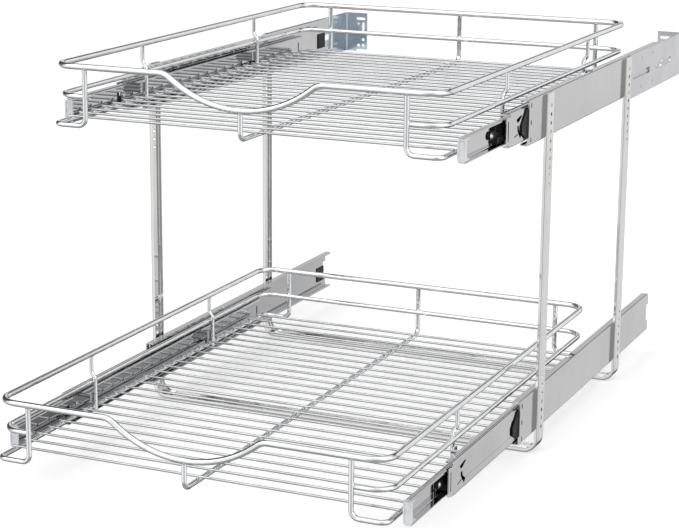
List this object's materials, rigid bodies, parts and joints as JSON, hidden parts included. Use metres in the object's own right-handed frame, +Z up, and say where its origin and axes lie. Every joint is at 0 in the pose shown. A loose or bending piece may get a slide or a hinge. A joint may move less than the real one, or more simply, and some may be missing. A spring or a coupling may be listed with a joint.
{
  "type": "pull out cabinet basket",
  "caption": "Two-tier pull-out organizer for a base cabinet: chromed wire baskets on full-extension ball-bearing slides in a U-shaped steel frame.",
  "frame": {"origin": "midpoint of the two floor screw holes, on the cabinet floor", "axes": "+X to the right and +Y into the cabinet, seen by a person in front of it, +Z up"},
  "size_m": [0.449, 0.8595, 0.405],
  "materials": {
    "chromed_wire": "bright chrome plating on steel wire",
    "rail_steel": "bright zinc-plated cold-rolled steel",
    "frame_steel": "satin chrome-plated steel channel",
    "bracket_steel": "blue zinc-plated steel sheet",
    "cage_steel": "plain zinc-plated steel sheet",
    "ball_steel": "polished bearing balls",
    "screw_steel": "zinc-plated steel",
    "black_plastic": "moulded black plastic",
    "white_plastic": "moulded off-white plastic"
  },
  "bodies": {
    "cabinet_frame": {"front_support_frame": "frame_steel", "rear_support_frame": "frame_steel", "left_wall_bracket": "bracket_steel", "right_wall_bracket": "bracket_steel", "rail_screws": "screw_steel", "bracket_screws": "screw_steel", "rail_stops": "black_plastic", "upper_left_outer_rail": "rail_steel", "upper_right_outer_rail": "rail_steel", "lower_left_outer_rail": "rail_steel", "lower_right_outer_rail": "rail_steel"},
    "upper_left_intermediate": {"upper_left_intermediate_rail": "rail_steel"},
    "upper_left_outer_cage": {"upper_left_outer_ball_cage": "cage_steel", "upper_left_outer_balls": "ball_steel"},
    "upper_left_inner_cage": {"upper_left_inner_ball_cage": "cage_steel", "upper_left_inner_balls": "ball_steel"},
    "upper_right_intermediate": {"upper_right_intermediate_rail": "rail_steel"},
    "upper_right_outer_cage": {"upper_right_outer_ball_cage": "cage_steel", "upper_right_outer_balls": "ball_steel"},
    "upper_right_inner_cage": {"upper_right_inner_ball_cage": "cage_steel", "upper_right_inner_balls": "ball_steel"},
    "upper_basket": {"upper_top_rim": "chromed_wire", "upper_second_rim": "chromed_wire", "upper_carrier_wires": "chromed_wire", "upper_floor_wires": "chromed_wire", "upper_side_struts": "chromed_wire", "upper_hangers": "rail_steel", "upper_lever_rivets": "screw_steel", "upper_left_inner_rail": "rail_steel", "upper_left_end_cap": "white_plastic", "upper_left_release_lever": "black_plastic", "upper_right_inner_rail": "rail_steel", "upper_right_end_cap": "white_plastic", "upper_right_release_lever": "black_plastic"},
    "lower_left_intermediate": {"lower_left_intermediate_rail": "rail_steel"},
    "lower_left_outer_cage": {"lower_left_outer_ball_cage": "cage_steel", "lower_left_outer_balls": "ball_steel"},
    "lower_left_inner_cage": {"lower_left_inner_ball_cage": "cage_steel", "lower_left_inner_balls": "ball_steel"},
    "lower_right_intermediate": {"lower_right_intermediate_rail": "rail_steel"},
    "lower_right_outer_cage": {"lower_right_outer_ball_cage": "cage_steel", "lower_right_outer_balls": "ball_steel"},
    "lower_right_inner_cage": {"lower_right_inner_ball_cage": "cage_steel", "lower_right_inner_balls": "ball_steel"},
    "lower_basket": {"lower_top_rim": "chromed_wire", "lower_second_rim": "chromed_wire", "lower_carrier_wires": "chromed_wire", "lower_floor_wires": "chromed_wire", "lower_side_struts": "chromed_wire", "lower_hangers": "rail_steel", "lower_lever_rivets": "screw_steel", "lower_left_inner_rail": "rail_steel", "lower_left_end_cap": "white_plastic", "lower_left_release_lever": "black_plastic", "lower_right_inner_rail": "rail_steel", "lower_right_end_cap": "white_plastic", "lower_right_release_lever": "black_plastic"}
  },
  "joints": [
    {"name": "upper_left_intermediate_slide", "type": "slide", "parent": "cabinet_frame", "child": "upper_left_intermediate", "axis": [0, -1, 0], "range_m": [-0.046, 0.204]},
    {"name": "upper_right_intermediate_slide", "type": "slide", "parent": "cabinet_frame", "child": "upper_right_intermediate", "axis": [0, -1, 0], "range_m": [-0.046, 0.204]},
    {"name": "upper_basket_slide", "type": "slide", "parent": "upper_left_intermediate", "child": "upper_basket", "axis": [0, -1, 0], "range_m": [-0.1115, 0.1785]},
    {"name": "upper_left_outer_cage_slide", "type": "slide", "parent": "cabinet_frame", "child": "upper_left_outer_cage", "axis": [0, -1, 0], "range_m": [-0.023, 0.102]},
    {"name": "upper_right_outer_cage_slide", "type": "slide", "parent": "cabinet_frame", "child": "upper_right_outer_cage", "axis": [0, -1, 0], "range_m": [-0.023, 0.102]},
    {"name": "upper_left_inner_cage_slide", "type": "slide", "parent": "upper_left_intermediate", "child": "upper_left_inner_cage", "axis": [0, -1, 0], "range_m": [-0.05575, 0.08925]},
    {"name": "upper_right_inner_cage_slide", "type": "slide", "parent": "upper_right_intermediate", "child": "upper_right_inner_cage", "axis": [0, -1, 0], "range_m": [-0.05575, 0.08925]},
    {"name": "lower_left_intermediate_slide", "type": "slide", "parent": "cabinet_frame", "child": "lower_left_intermediate", "axis": [0, -1, 0], "range_m": [-0.178, 0.072]},
    {"name": "lower_right_intermediate_slide", "type": "slide", "parent": "cabinet_frame", "child": "lower_right_intermediate", "axis": [0, -1, 0], "range_m": [-0.178, 0.072]},
    {"name": "lower_basket_slide", "type": "slide", "parent": "lower_left_intermediate", "child": "lower_basket", "axis": [0, -1, 0], "range_m": [-0.0945, 0.1955]},
    {"name": "lower_left_outer_cage_slide", "type": "slide", "parent": "cabinet_frame", "child": "lower_left_outer_cage", "axis": [0, -1, 0], "range_m": [-0.089, 0.036]},
    {"name": "lower_right_outer_cage_slide", "type": "slide", "parent": "cabinet_frame", "child": "lower_right_outer_cage", "axis": [0, -1, 0], "range_m": [-0.089, 0.036]},
    {"name": "lower_left_inner_cage_slide", "type": "slide", "parent": "lower_left_intermediate", "child": "lower_left_inner_cage", "axis": [0, -1, 0], "range_m": [-0.04725, 0.09775]},
    {"name": "lower_right_inner_cage_slide", "type": "slide", "parent": "lower_right_intermediate", "child": "lower_right_inner_cage", "axis": [0, -1, 0], "range_m": [-0.04725, 0.09775]}
  ],
  "couplings": [
    {"joint": "upper_right_intermediate_slide", "follows": "upper_left_intermediate_slide", "ratio": 1},
    {"joint": "upper_left_outer_cage_slide", "follows": "upper_left_intermediate_slide", "ratio": 0.5},
    {"joint": "upper_right_outer_cage_slide", "follows": "upper_left_intermediate_slide", "ratio": 0.5},
    {"joint": "upper_left_inner_cage_slide", "follows": "upper_basket_slide", "ratio": 0.5},
    {"joint": "upper_right_inner_cage_slide", "follows": "upper_basket_slide", "ratio": 0.5},
    {"joint": "lower_right_intermediate_slide", "follows": "lower_left_intermediate_slide", "ratio": 1},
    {"joint": "lower_left_outer_cage_slide", "follows": "lower_left_intermediate_slide", "ratio": 0.5},
    {"joint": "lower_right_outer_cage_slide", "follows": "lower_left_intermediate_slide", "ratio": 0.5},
    {"joint": "lower_left_inner_cage_slide", "follows": "lower_basket_slide", "ratio": 0.5},
    {"joint": "lower_right_inner_cage_slide", "follows": "lower_basket_slide", "ratio": 0.5}
  ]
}
